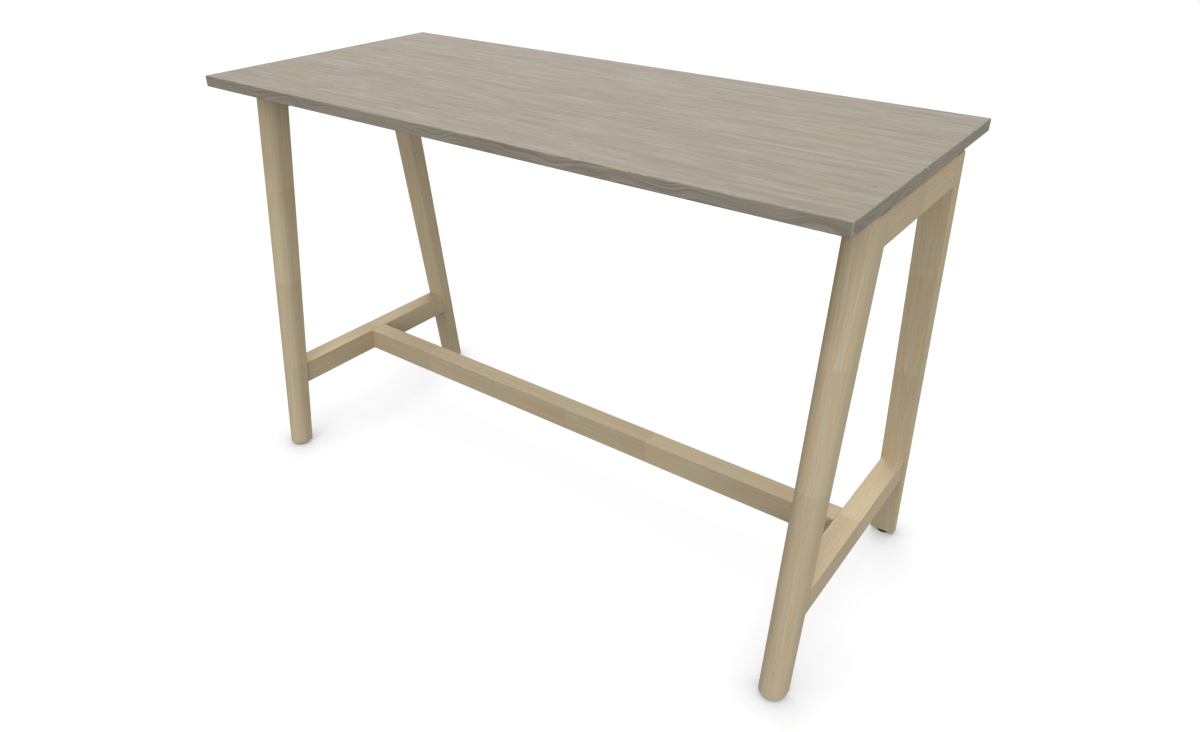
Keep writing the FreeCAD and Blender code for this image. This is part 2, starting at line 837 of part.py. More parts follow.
# Levelling feet
def make_foot(depth, side):
    place = {
        "x": signed(SIDES[side], "Places.frame_reach"),
        "y": signed(DEPTHS[depth], "Places.foot_reach"),
    }
    pad = new_body(f"foot_pad_{depth}_{side}", **place)
    bar(pad, "disc", "Sizes.pad_diameter / 2", "Sizes.pad_height", ("0", "0", "0"))
    round_edges(pad, "disc_rounds", "Sizes.pad_round", lambda edge: edge.BoundBox.ZLength < 1e-6)
    drill(
        pad,
        "socket",
        "Places.socket_radius",
        "Sizes.socket_depth",
        ("0", "0", "Sizes.pad_height - Sizes.socket_depth"),
    )
    stem = new_body(f"foot_stem_{depth}_{side}", **place)
    bar(
        stem,
        "knob",
        "Places.socket_radius - Sizes.thread_clearance",
        "Sizes.socket_depth - Sizes.hole_room",
        ("0", "0", "Sizes.pad_height - Sizes.socket_depth + Sizes.hole_room"),
    )
    hexagon(stem, "collar", "Sizes.collar_width", "Sizes.collar_height", ("0", "0", "Sizes.pad_height"))
    bar(stem, "thread", "Places.thread_radius", "Places.stem_length", ("0", "0", "Places.leg_bottom"))


sizes = add_sheet("Sizes", DRIVING)
places = add_sheet("Places", DERIVED)
make_board()
make_bands()
for side in SIDES:
    for depth in DEPTHS:
        make_leg(depth, side)
make_upper_rails()
make_lower_rails()
make_frame_dowels()
make_stretcher()
make_stretcher_dowels()
make_stretcher_fixings()
make_inserts()
for depth in DEPTHS:
    make_beam(depth)
    for side in SIDES:
        make_plate(depth, side)
make_beam_bolts()
make_top_screws()
for depth in DEPTHS:
    for side in SIDES:
        make_foot(depth, side)
doc.recompute()

# Check every object, then write one file for each node
faults = [item.Label for item in doc.Objects if {"Invalid", "Error"} & set(item.State)]
faults += [node.Label for node in nodes if node.Shape.isNull() or not node.Shape.isValid()]
if faults:
    raise RuntimeError(f"these did not build: {faults}")
os.makedirs("parts", exist_ok=True)
for node in nodes:
    node.Shape.exportStep(f"parts/{node.Label}.step")
    print(node.Label, len(node.Shape.Solids), "solids", round(node.Shape.Volume), "mm3")
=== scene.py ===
"""High table: finishes and small hardware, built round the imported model."""
import math

import bmesh
import bpy
from bpy.props import FloatProperty, FloatVectorProperty, IntProperty, PointerProperty
from mathutils import Matrix, Vector


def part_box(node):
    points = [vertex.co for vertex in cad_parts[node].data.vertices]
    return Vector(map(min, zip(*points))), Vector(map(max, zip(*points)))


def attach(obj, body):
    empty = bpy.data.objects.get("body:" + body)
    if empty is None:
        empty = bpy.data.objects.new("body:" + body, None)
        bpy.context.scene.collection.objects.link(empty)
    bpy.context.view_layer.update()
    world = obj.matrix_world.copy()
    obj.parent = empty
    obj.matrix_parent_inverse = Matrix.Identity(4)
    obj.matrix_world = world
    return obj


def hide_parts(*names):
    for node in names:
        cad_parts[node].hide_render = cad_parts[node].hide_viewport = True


bl_info = {
    "name": "High table",
    "version": (1, 0, 0),
    "blender": (4, 5, 0),
    "location": "3D View > Sidebar > High table",
    "description": "Dresses the high table with its wood, edge bands, steel beams and levelling feet",
    "category": "Object",
}

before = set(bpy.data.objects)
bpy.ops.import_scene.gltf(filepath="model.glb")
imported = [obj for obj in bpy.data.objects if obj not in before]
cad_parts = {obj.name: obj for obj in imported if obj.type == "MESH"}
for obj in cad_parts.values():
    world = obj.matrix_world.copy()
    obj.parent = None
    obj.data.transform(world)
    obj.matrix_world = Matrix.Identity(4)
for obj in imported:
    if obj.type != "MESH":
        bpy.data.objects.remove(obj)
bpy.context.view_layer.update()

CORNERS = [(depth, side) for depth in ("front", "rear") for side in ("left", "right")]
LEGS = [f"leg_{depth}_{side}" for depth, side in CORNERS]
RAILS = [f"{level}_rail_{side}" for level in ("upper", "lower") for side in ("left", "right")]
BANDS = [f"edge_band_{name}" for name in ("front", "rear", "left", "right")]
BEAMS = ["beam_front", "beam_rear"]
PLATES = [f"beam_plate_{depth}_{side}" for depth, side in CORNERS]
ZINC_NODES = [
    "top_screws",
    "stretcher_studs",
    "half_moon_washers",
    "stretcher_nuts",
    "beam_insert_nuts",
    "stretcher_insert_nuts",
    "foot_insert_nuts",
]
DOWEL_NODES = ["frame_dowels", "stretcher_dowels"]
ALONG_X = Vector((1, 0, 0))
ALONG_Y = Vector((0, 1, 0))
MM = 0.001
SAME_PLACE = 1e-6
LINE_EDGE = 0.6 * MM
ROUND_STEPS = 6
WELD_ROUND = 0.9
HEXAGON_HALF_ANGLE = math.radians(30)

# Numbers that set the patterns of like pieces apart
LEG_PATTERN = 1.0
RAIL_PATTERN = 6.0
STRETCHER_PATTERN = 11.0
BAND_PATTERN = 2.0
BAND_PATTERN_STEP = 0.37
BLOCK_SCATTER = 11.3
ROW_SCATTER = 7.3
STAVE_SCATTER = 37.7

# Fixed values of the stage, with the sensor in millimetres
FLOOR_SIZE = 60
LAMP_AIM = Vector((0, 0, 0.6))
SENSOR_WIDTH = 36
CONTACT_SAMPLES = 16


def colour(name, description, default):
    """A colour that a user can change."""
    return FloatVectorProperty(
        name=name, description=description, default=default, subtype="COLOR", size=3, min=0, max=1
    )


def length(name, description, default):
    """A length that a user can change."""
    return FloatProperty(name=name, description=description, default=default, unit="LENGTH", precision=5)


def number(name, description, default):
    """A plain number that a user can change."""
    return FloatProperty(name=name, description=description, default=default)


def angle(name, description, default):
    """An angle in radians that a user can change."""
    return FloatProperty(name=name, description=description, default=default, subtype="ANGLE")


def position(name, description, default):
    """A place that a user can change."""
    return FloatVectorProperty(name=name, description=description, default=default, unit="LENGTH")


def sides(name, description, default):
    """The number of sides of a turned piece, which a user can change."""
    return IntProperty(name=name, description=description, default=default, min=12)


class HighTableColours(bpy.types.PropertyGroup):
    """Colours of the table's finishes."""

    decor: colour("Top decor", "Grey beige ground of the top", (0.3295, 0.294, 0.2345))
    decor_rose: colour("Top rose streaks", "Pinkish streaks in the top", (0.3615, 0.316, 0.2725))
    decor_straw: colour("Top straw streaks", "Yellowish streaks in the top", (0.3395, 0.3035, 0.233))
    decor_fleck: colour("Top flecks", "Small dark flecks in the top", (0.181, 0.156, 0.123))
    band: colour("Edge band", "Ground of the edge bands", (0.363, 0.325, 0.262))
    band_line: colour("Edge band grain", "Dark grain lines of the edge bands", (0.235, 0.21, 0.165))
    # Paler colour at the ends of the front and rear bands.
    band_core: colour("Edge band core", "Plain core that shows at the band's ends", (0.402, 0.3675, 0.3185))
    oak: colour("Wood", "Ground of the legs, rails and stretcher", (0.605, 0.5, 0.328))
    oak_warm: colour("Wood, warm streaks", "Honey streaks in the wood", (0.615, 0.472, 0.274))
    oak_grey: colour("Wood, grey streaks", "Pale grey streaks in the wood", (0.598, 0.53, 0.402))
    # The pore colour also paints the shade in the gaps at the stretcher's joints.
    oak_pore_and_gap_shade: colour("Wood pores", "Dark pores and flecks in the wood", (0.34, 0.25, 0.14))
    dowel: colour("Dowels", "Raw dowel wood", (0.6, 0.45, 0.28))
    coat: colour("Beam paint", "Powder coat on the steel beams", (0.05, 0.05, 0.05))
    coat_pale: colour("Beam paint, pale", "Paler patches in the powder coat", (0.0675, 0.0675, 0.0675))
    zinc: colour("Zinc", "Zinc plating of the fixings", (0.6, 0.61, 0.63))
    zinc_cloud: colour("Zinc clouds", "Cloudy patches in the zinc", (0.52, 0.55, 0.6))
    plastic: colour("Foot plastic", "Moulded plastic of the levelling pads", (0.012, 0.012, 0.013))
    plastic_scuff: colour("Foot scuffs", "Scuffed patches of the levelling pads", (0.03, 0.03, 0.032))


class HighTableSizes(bpy.types.PropertyGroup):
    """Sizes of the wood's patterns and of the small hardware."""

    stave: length("Wood block", "Length of one block in the glued-up wood", 0.25)
    leg_depth: length("Leg depth", "Mean depth of a leg, for the lean of its grain", 0.055)
    # The joint line is painted shade in the gap where the stretcher meets the rails.
    joint_shade_width: length("Joint line", "Width of the dark line at the stretcher's ends", 0.0012)
    decor_row: length("Decor stave width", "Width of one printed stave of the top", 0.014)
    decor_stave: length("Decor stave length", "Length of one printed stave of the top", 0.21)
    band_core: length("Edge band core", "Thickness of the plain core at the bands' ends", 0.0019)
    weld: length("Weld", "Leg of the weld between a beam and its plate", 0.0035)
    weld_bite: length("Weld bite", "How much narrower than the beam the weld is inside", 0.0004)
    beam_round: length("Beam round", "Rounding of the beams' long edges", 0.003)
    shank: length("Bolt shank", "Radius of the bolts' shanks", 0.004)
    shank_point: length("Bolt point", "Bevel at the tip of a bolt", 0.0008)
    head_rim: length("Bolt rim", "Bevel under the head of a bolt", 0.0002)
    head_round: length("Bolt head round", "Rounding of the bolts' heads", 0.0022)
    socket: length("Bolt socket", "Width across the flats of the bolts' key sockets", 0.005)
    socket_depth: length("Bolt socket depth", "Depth of the bolts' key sockets", 0.0026)
    bolt_inset: length("Bolt inset", "From the end of a beam's plate to the middle of a bolt", 0.014)
    pad_round: length("Pad round", "Rounding of the levelling pads' rims", 0.0012)
    pad_rim: length("Pad rim", "From the rim of a levelling pad to its ring groove", 0.0022)
    groove: length("Pad groove", "Width of the ring groove in a levelling pad", 0.0037)
    groove_slope: length("Pad groove slope", "Width of the groove's sloping sides", 0.0005)
    groove_depth: length("Pad groove depth", "Depth of the ring groove", 0.0009)
    cup: length("Pad cup", "Radius of the cup that takes the stem's end", 0.005)
    cup_edge: length("Pad cup edge", "Bevel at the mouth of the cup", 0.0003)
    cup_depth: length("Pad cup depth", "Depth of the cup", 0.0035)
    knob: length("Stem knob", "Radius of the stem's end in the pad", 0.00495)
    knob_tip: length("Stem knob tip", "Radius of the flat under the stem's end", 0.0046)
    knob_edge: length("Stem knob edge", "Height of the bevel under the stem's end", 0.0004)
    collar: length("Stem collar", "Width across the flats of the stem's hexagon collar", 0.013)
    collar_edge: length("Stem collar edge", "Bevel of the hexagon collar", 0.0004)
    thread: length("Thread", "Radius of the levelling feet's threads", 0.004)
    thread_pitch: length("Thread pitch", "Pitch of the levelling feet's threads", 0.00125)
    thread_depth: length("Thread depth", "Depth of the levelling feet's threads", 0.0006)
    thread_end: length("Thread end", "Length at the top of a stem that has no thread", 0.001)
    thread_point: length("Thread point", "Bevel at the top of a stem", 0.0009)
    turned_sides: sides("Turned sides", "Sides of a turned piece", 48)
    thread_sides: sides("Thread sides", "Sides of a thread", 28)


class HighTableStage(bpy.types.PropertyGroup):
    """Camera, floor and light."""

    camera_place: position("Camera", "Place of the camera", (1.21165, -1.53137, 1.51563))
    camera_azimuth: angle("Camera azimuth", "Turn of the camera from the front", math.radians(36.1255))
    camera_drop: angle("Camera drop", "Angle that the camera looks down", math.radians(30.4368))
    camera_lens: FloatProperty(name="Lens", description="Focal length", default=26.564, unit="CAMERA")
    key_place: position("Key place", "Place of the main lamp", (3.61, -4.97, 2.72))
    back_place: position("Back place", "Place of the lamp behind the table", (-2.97, 4.09, 4.69))
    lamp_spread: angle("Lamp spread", "Angle over which each of these lamps is spread", 0.68)
    over_place: position("Over place", "Place of the lamp above the table", (0.7, -1.9, 6.2))
    over_spread: angle("Over spread", "Angle over which the upper lamp is spread", 0.22)
    sky: number("Sky", "Strength of the even light", 0.565)
    key: number("Key", "Strength of the main lamp", 0.81)
    back: number("Back", "Strength of the lamp behind the table", 1.28)
    over: number("Over", "Strength of the lamp above the table", 0.73)
    floor: colour("Floor", "Colour of the floor in the light", (0.25, 0.25, 0.25))
    floor_glow: number("Floor glow", "White that the camera sees in the floor", 0.94)
    floor_shadow: colour("Floor shadow", "Floor that the lamps light for the camera", (0.1, 0.1, 0.1))
    floor_reach: length("Floor contact", "How far above the floor a piece still darkens it", 0.24)
    floor_ease: number("Floor ease", "Share of the contact shade left out", 0.065)


# Selecting and shaping
def deselect():
    """Nothing selected, so that the next operator acts on its own piece alone."""
    bpy.ops.object.select_all(action="DESELECT")


def pick(piece):
    """Select one piece alone and make it active."""
    deselect()
    piece.select_set(True)
    bpy.context.view_layer.objects.active = piece


def named(name):
    """The piece just added, with its name."""
    piece = bpy.context.active_object
    piece.name = name
    piece.data.name = name
    return piece


def choose(piece, wanted, part="faces"):
    """In edit mode, select the faces or edges for which wanted(item) is true, and nothing else."""
    bpy.ops.mesh.select_all(action="DESELECT")
    bpy.ops.mesh.select_mode(type="FACE" if part == "faces" else "EDGE")
    mesh = bmesh.from_edit_mesh(piece.data)
    for item in getattr(mesh, part):
        if wanted(item):
            item.select_set(True)
    mesh.select_flush_mode()
    bmesh.update_edit_mesh(piece.data)


def settle(piece):
    """Put a piece's place, turn and size into its mesh."""
    pick(piece)
    bpy.ops.object.transform_apply(location=True, rotation=True, scale=True)


def tidy(piece, degrees=35):
    """Merge doubles, turn the faces outwards and smooth the edges that bend by fewer degrees."""
    pick(piece)
    bpy.ops.object.mode_set(mode="EDIT")
    bpy.ops.mesh.select_all(action="SELECT")
    bpy.ops.mesh.remove_doubles(threshold=SAME_PLACE)
    bpy.ops.mesh.normals_make_consistent(inside=False)
    bpy.ops.object.mode_set(mode="OBJECT")
    bpy.ops.object.shade_smooth_by_angle(angle=math.radians(degrees))


def rounded_top(radius, height, rounding):
    """Points of a turned piece's rounded upper edge, from its side to its top."""
    bends = [math.radians(90 * step / ROUND_STEPS) for step in range(ROUND_STEPS + 1)]
    return [
        (radius - rounding * (1 - math.cos(bend)), height - rounding * (1 - math.sin(bend)))
        for bend in bends
    ]


def turned(name, profile, side_count):
    """A closed turned piece about its own Z, from (radius, height) pairs, first end to last end."""
    deselect()
    radius, height = profile[0]
    bpy.ops.mesh.primitive_circle_add(
        vertices=side_count, radius=radius, fill_type="NGON", location=(0, 0, height)
    )
    piece = named(name)
    settle(piece)
    bpy.ops.object.mode_set(mode="EDIT")
    bpy.ops.mesh.select_mode(type="FACE")
    bpy.ops.mesh.select_all(action="SELECT")
    for next_radius, next_height in profile[1:]:
        bpy.ops.mesh.extrude_region_move(TRANSFORM_OT_translate={"value": (0, 0, next_height - height)})
        ratio = next_radius / radius
        bpy.ops.transform.resize(value=(ratio, ratio, 1), center_override=(0, 0, next_height))
        radius, height = next_radius, next_height
    bpy.ops.object.mode_set(mode="OBJECT")
    tidy(piece)
    return piece


def add_hexagon(name, across_flats, depth, height):
    """An upright hexagon about Z, by its width across the flats and the height of its middle."""
    deselect()
    bpy.ops.mesh.primitive_cylinder_add(
        vertices=6,
        radius=across_flats / 2 / math.cos(HEXAGON_HALF_ANGLE),
        depth=depth,
        location=(0, 0, height),
    )
    return named(name)


def cut(piece, cutter):
    """Cut one piece with another, which is then deleted."""
    pick(piece)
    step = piece.modifiers.new("cut", "BOOLEAN")
    step.operation = "DIFFERENCE"
    step.solver = "EXACT"
    step.object = cutter
    bpy.ops.object.modifier_apply(modifier=step.name)
    bpy.data.objects.remove(cutter)


def joined(name, pieces):
    """Join pieces into one."""
    deselect()
    for piece in pieces:
        piece.select_set(True)
    bpy.context.view_layer.objects.active = pieces[0]
    bpy.ops.object.join()
    return named(name)


def placed_copy(piece, matrix):
    """A copy with a mesh of its own, moved and turned in its mesh."""
    pick(piece)
    bpy.ops.object.duplicate()
    copy = bpy.context.active_object
    copy.matrix_world = matrix
    settle(copy)
    return copy


def coat(piece, material):
    """Give a piece one material."""
    piece.data.materials.clear()
    piece.data.materials.append(material)


def coat_nodes(names, material):
    """Give CAD nodes one material."""
    for name in names:
        coat(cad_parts[name], material)


def centre_of(node):
    """The middle of a CAD node's box."""
    low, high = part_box(node)
    return (low + high) / 2


# Building a material from nodes
class Finish:
    """A material under construction."""

    def __init__(self, name):
        self.material = bpy.data.materials.new(name)
        self.material.use_nodes = True
        self.tree = self.material.node_tree
        self.shader = self.tree.nodes["Principled BSDF"]

    def add(self, kind, **settings):
        """A new node of a kind, with its settings."""
        node = self.tree.nodes.new(kind)
        for key, value in settings.items():
            setattr(node, key, value)
        return node

    def feed(self, socket, value):
        """Link an output to an input, or set the input to a number."""
        if isinstance(value, bpy.types.NodeSocket):
            self.tree.links.new(value, socket)
        else:
            socket.default_value = value

    def feed_colour(self, socket, value):
        """Link an output to an input, or set the input to a colour."""
        self.feed(socket, value if isinstance(value, bpy.types.NodeSocket) else (*value, 1))

    def math(self, operation, first, second=0.0, clamp=False):
        """One operation on two numbers."""
        node = self.add("ShaderNodeMath", operation=operation, use_clamp=clamp)
        self.feed(node.inputs[0], first)
        self.feed(node.inputs[1], second)
        return node.outputs[0]

    def total(self, first, *others):
        """Several numbers added up."""
        for value in others:
            first = self.math("ADD", first, value)
        return first

    def vector(self, operation, first, second):
        """One operation on two vectors."""
        node = self.add("ShaderNodeVectorMath", operation=operation)
        self.feed(node.inputs[0], first)
        self.feed(node.inputs[1], second)
        return node.outputs[0]

    def frame_place(self):
        """Coordinates in metres in the table's own frame."""
        return self.add("ShaderNodeTexCoord").outputs["Object"]

    def grain(self, centre, along, shift=0.0):
        """Coordinates in metres about a piece's centre, with X along its grain and shifted along it."""
        turn = along.normalized().rotation_difference(ALONG_X)
        mapping = self.add("ShaderNodeMapping", vector_type="POINT")
        mapping.inputs["Rotation"].default_value = turn.to_euler("XYZ")
        mapping.inputs["Location"].default_value = Vector((shift, 0, 0)) - turn @ centre
        self.feed(mapping.inputs["Vector"], self.frame_place())
        return mapping.outputs[0]

    def parts(self, vector):
        """The three parts of a vector or colour."""
        node = self.add("ShaderNodeSeparateXYZ")
        self.feed(node.inputs[0], vector)
        return node.outputs

    def join(self, first, second, third=0.0):
        """A vector from three numbers."""
        node = self.add("ShaderNodeCombineXYZ")
        for socket, value in zip(node.inputs, (first, second, third)):
            self.feed(socket, value)
        return node.outputs[0]

    def noise(self, vector, stretch, detail=2.0, roughness=0.5, distortion=0.0):
        """Soft noise with so many waves to the metre along each axis."""
        node = self.add("ShaderNodeTexNoise")
        self.feed(node.inputs["Vector"], self.vector("MULTIPLY", vector, stretch))
        node.inputs["Scale"].default_value = 1.0
        node.inputs["Detail"].default_value = detail
        node.inputs["Roughness"].default_value = roughness
        node.inputs["Distortion"].default_value = distortion
        return node.outputs["Fac"]

    def rare_cells(self, vector, stretch, limit, dimensions="2D"):
        """Random cells: the distance from each one's middle, and 1 in those few drawn above a limit."""
        node = self.add("ShaderNodeTexVoronoi", voronoi_dimensions=dimensions)
        self.feed(node.inputs["Vector"], self.vector("MULTIPLY", vector, stretch))
        node.inputs["Scale"].default_value = 1.0
        rare = self.math("GREATER_THAN", self.parts(node.outputs["Color"])[0], limit)
        return node.outputs["Distance"], rare

    def chance(self, draw):
        """A random value and colour for each whole number."""
        node = self.add("ShaderNodeTexWhiteNoise", noise_dimensions="1D")
        self.feed(node.inputs["W"], draw)
        return node.outputs["Value"], node.outputs["Color"]

    def spread(self, value, low, high, to_low=0.0, to_high=1.0):
        """Map low..high to to_low..to_high, and hold the ends."""
        node = self.add("ShaderNodeMapRange", interpolation_type="SMOOTHSTEP")
        for socket, end in zip(node.inputs[:5], (value, low, high, to_low, to_high)):
            self.feed(socket, end)
        return node.outputs[0]

    def mix(self, share, first, second):
        """A mix of two colours, with a share of the second."""
        node = self.add("ShaderNodeMix", data_type="RGBA")
        self.feed(node.inputs[0], share)
        self.feed_colour(node.inputs[6], first)
        self.feed_colour(node.inputs[7], second)
        return node.outputs[2]

    def shade(self, tint, amount):
        """Multiply a colour by a number."""
        node = self.add("ShaderNodeVectorMath", operation="SCALE")
        self.feed(node.inputs[0], tint)
        self.feed(node.inputs["Scale"], amount)
        return node.outputs[0]

    def bump(self, height, strength, depth):
        """Let a pattern raise the surface by a depth in metres."""
        node = self.add("ShaderNodeBump")
        node.inputs["Strength"].default_value = strength
        node.inputs["Distance"].default_value = depth
        self.feed(node.inputs["Height"], height)
        self.feed(self.shader.inputs["Normal"], node.outputs[0])

    def finish(self, tint, roughness, metallic=0.0, specular=0.5):
        """The material, with its colour, roughness and shine."""
        self.feed_colour(self.shader.inputs["Base Color"], tint)
        self.feed(self.shader.inputs["Roughness"], roughness)
        self.shader.inputs["Metallic"].default_value = metallic
        self.shader.inputs["Specular IOR Level"].default_value = specular
        return self.material


def decor_finish(look, sizes):
    """The top's printed decor: long soft streaks, narrow staves and a few flecks, matt."""
    make = Finish("top_decor")
    place = make.grain(centre_of("tabletop_board"), ALONG_X)
    along, across, _ = make.parts(place)
    hue = make.noise(place, (4, 38, 0), 3.0, 0.6, 0.4)
    streak = make.noise(place, (5, 95, 0), 4.0, 0.65, 0.2)
    fine = make.noise(place, (14, 560, 0), 3.0, 0.6)
    pale = make.noise(place, (15, 350, 3), 2.0, 0.5)
    dark = make.noise(place, (13, 310, 9), 2.0, 0.5)
    row = make.math("FLOOR", make.math("DIVIDE", across, sizes.decor_row))
    row_start = make.math("MULTIPLY", make.chance(row)[0], ROW_SCATTER)
    stave = make.math("FLOOR", make.total(make.math("DIVIDE", along, sizes.decor_stave), row_start))
    stave_tone = make.chance(make.total(stave, make.math("MULTIPLY", row, STAVE_SCATTER)))[0]
    tint = make.mix(make.spread(hue, 0.5, 0.64), look.decor, look.decor_rose)
    tint = make.mix(make.spread(hue, 0.36, 0.48, 1.0, 0.0), tint, look.decor_straw)
    tone = make.total(
        make.spread(streak, 0.33, 0.67, 0.9, 1.09),
        make.spread(fine, 0.3, 0.7, -0.065, 0.065),
        make.spread(stave_tone, 0.0, 1.0, -0.05, 0.05),
        make.spread(pale, 0.62, 0.67, 0.0, 0.17),
        make.spread(dark, 0.63, 0.7, 0.0, -0.11),
    )
    tint = make.shade(tint, tone)
    distance, rare = make.rare_cells(place, (13, 42, 0), 0.9)
    rim = make.math("MULTIPLY", rare, make.spread(distance, 0.05, 0.2, 0.35, 0.0))
    fleck = make.math("MULTIPLY", rare, make.spread(distance, 0.03, 0.09, 0.85, 0.0))
    tint = make.mix(rim, tint, look.decor_rose)
    tint = make.mix(fleck, tint, look.decor_fleck)
    make.bump(make.total(fine, streak), 0.06, 0.3 * MM)
    return make.finish(tint, make.spread(streak, 0.2, 0.8, 0.55, 0.65), specular=0.05)


def band_finish(look, sizes, node, along):
    """An edge band's decor: crown grain in wavy lines, paler at the rounded ends."""
    make = Finish(node)
    shift = BAND_PATTERN + BAND_PATTERN_STEP * BANDS.index(node)
    place = make.grain(centre_of(node), along, shift)
    run, _, up = make.parts(place)
    rings_per_metre = 115
    waver = 7
    lines_per_ring = 1.9
    level = make.noise(place, (7.0, 0, 14), 1.0, 0.5, 0.3)
    crown = make.total(make.math("MULTIPLY", up, rings_per_metre), make.math("MULTIPLY", level, waver))
    contour = make.noise(make.join(run, crown), (3.0, 2.4, 1), 3.0, 0.6)
    wave = make.math("SINE", make.math("MULTIPLY", crown, lines_per_ring * math.tau))
    fibre = make.noise(place, (24, 0, 700), 3.0, 0.6)
    patch = make.noise(place, (5.0, 0, 26), 2.0)
    tint = make.mix(make.spread(contour, 0.34, 0.62, 0.9, 0.0), look.band, look.band_line)
    tint = make.mix(make.spread(wave, 0.2, 1.0, 0.0, 0.6), tint, look.band_line)
    tone = make.total(make.spread(patch, 0.3, 0.7, 0.97, 1.12), make.spread(fibre, 0.3, 0.7, -0.05, 0.05))
    tint = make.shade(tint, tone)
    distance, rare = make.rare_cells(make.join(run, up), (20, 80, 0), 0.9)
    fleck = make.math("MULTIPLY", rare, make.spread(distance, 0.02, 0.07, 0.85, 0.0))
    tint = make.mix(fleck, tint, look.decor_fleck)
    # The front and rear bands are paler over their last few millimetres, at the corners.
    if along == ALONG_X:
        _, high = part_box(node)
        pale_start = high.x - sizes.band_core
        reach = make.math("ABSOLUTE", make.parts(make.frame_place())[0])
        core = make.spread(reach, pale_start, pale_start + LINE_EDGE)
        tint = make.mix(core, tint, look.band_core)
    make.bump(make.total(contour, fibre), 0.05, 0.2 * MM)
    return make.finish(tint, make.spread(patch, 0.2, 0.8, 0.5, 0.6), specular=0.05)


def oak_finish(look, sizes, node, along, pattern, axis, joint=None):
    """Satin pale wood: fine straight fibres along the piece, glued up from blocks, with painted shade in the
    gap at an open joint.
    """
    make = Finish(node)
    place = make.grain(centre_of(node), along, pattern)
    run = make.parts(make.frame_place())[axis]
    step = make.math("DIVIDE", run, sizes.stave)
    block = make.math("FLOOR", step)
    within = make.math("FRACT", step)
    from_middle = make.math("ABSOLUTE", make.math("SUBTRACT", within, 0.5))
    tone, jump = make.chance(make.total(block, BLOCK_SCATTER * (pattern + 1)))
    wood = make.vector("ADD", place, make.vector("MULTIPLY", jump, (4, 4, 4)))
    fibre = make.noise(wood, (10, 800, 800), 3.0, 0.6)
    band = make.noise(wood, (4, 420, 420), 3.0, 0.6, 0.2)
    warm = make.noise(wood, (5, 230, 230), 3.0, 0.6, 0.5)
    pale = make.noise(wood, (8, 480, 480), 2.0, 0.5, 0.3)
    tint = make.mix(make.spread(warm, 0.44, 0.62), look.oak, look.oak_warm)
    tint = make.mix(make.spread(band, 0.48, 0.66), tint, look.oak_grey)
    light = make.total(
        make.spread(fibre, 0.28, 0.72, 0.965, 1.035),
        make.spread(band, 0.3, 0.7, -0.035, 0.035),
        make.spread(tone, 0.0, 1.0, -0.02, 0.02),
        make.spread(within, 0.0, 1.0, 0.02, -0.025),
        make.spread(pale, 0.6, 0.68, 0.0, 0.06),
        make.spread(from_middle, 0.4955, 0.499, 0.0, -0.04),
    )
    tint = make.shade(tint, light)
    pore = make.spread(make.noise(wood, (26, 900, 900), 2.0), 0.66, 0.78, 0.0, 0.3)
    distance, rare = make.rare_cells(wood, (9, 34, 34), 0.92, "3D")
    fleck = make.math("MULTIPLY", rare, make.spread(distance, 0.03, 0.09, 0.5, 0.0))
    tint = make.mix(make.math("MAXIMUM", pore, fleck), tint, look.oak_pore_and_gap_shade)
    # Painted shade: a dark line at the piece's ends stands in for the shadow in the joint's gap.
    if joint:
        joint_shade_start = joint - sizes.joint_shade_width
        line = make.spread(make.math("ABSOLUTE", run), joint_shade_start, joint_shade_start + LINE_EDGE, 0.0, 0.8)
        tint = make.mix(line, tint, look.oak_pore_and_gap_shade)
    make.bump(make.math("SUBTRACT", fibre, pore), 0.1, 0.3 * MM)
    return make.finish(tint, make.spread(fibre, 0.2, 0.8, 0.52, 0.64), specular=0.05)


def dowel_finish(look):
    """Raw turned dowel wood."""
    make = Finish("dowel_wood")
    place = make.grain(Vector(), ALONG_Y)
    fibre = make.noise(place, (20, 700, 700), 3.0)
    make.bump(fibre, 0.2, 0.3 * MM)
    tint = make.shade(make.mix(fibre, look.dowel, look.oak), make.spread(fibre, 0.3, 0.7, 0.9, 1.05))
    return make.finish(tint, make.spread(fibre, 0.2, 0.8, 0.7, 0.85), specular=0.2)


def paint_finish(look):
    """Matt powder coat with a fine texture."""
    make = Finish("painted_steel")
    place = make.frame_place()
    peel = make.noise(place, (900, 900, 900), 2.0)
    drift = make.noise(place, (12, 12, 12), 2.0)
    make.bump(peel, 0.18, 0.2 * MM)
    tint = make.mix(make.spread(drift, 0.3, 0.7), look.coat, look.coat_pale)
    return make.finish(tint, make.spread(peel, 0.2, 0.8, 0.5, 0.66), specular=0.45)


def zinc_finish(look):
    """Zinc plating: bright, a little cloudy, with fine tool marks."""
    make = Finish("zinc_steel")
    place = make.frame_place()
    cloud = make.noise(place, (160, 160, 160), 3.0)
    mark = make.noise(place, (2600, 2600, 2600), 1.0)
    make.bump(mark, 0.08, 0.05 * MM)
    tint = make.mix(make.spread(cloud, 0.35, 0.65), look.zinc, look.zinc_cloud)
    return make.finish(tint, make.spread(cloud, 0.3, 0.7, 0.24, 0.38), metallic=1.0)


def plastic_finish(look):
    """Moulded black plastic with a fine spark-eroded texture."""
    make = Finish("black_plastic")
    place = make.frame_place()
    grit = make.noise(place, (3200, 3200, 3200), 2.0)
    scuff = make.noise(place, (240, 240, 240), 3.0)
    make.bump(grit, 0.15, 0.1 * MM)
    tint = make.mix(make.spread(scuff, 0.55, 0.8, 0.0, 0.5), look.plastic, look.plastic_scuff)
    return make.finish(tint, make.spread(scuff, 0.3, 0.7, 0.42, 0.55), specular=0.45)


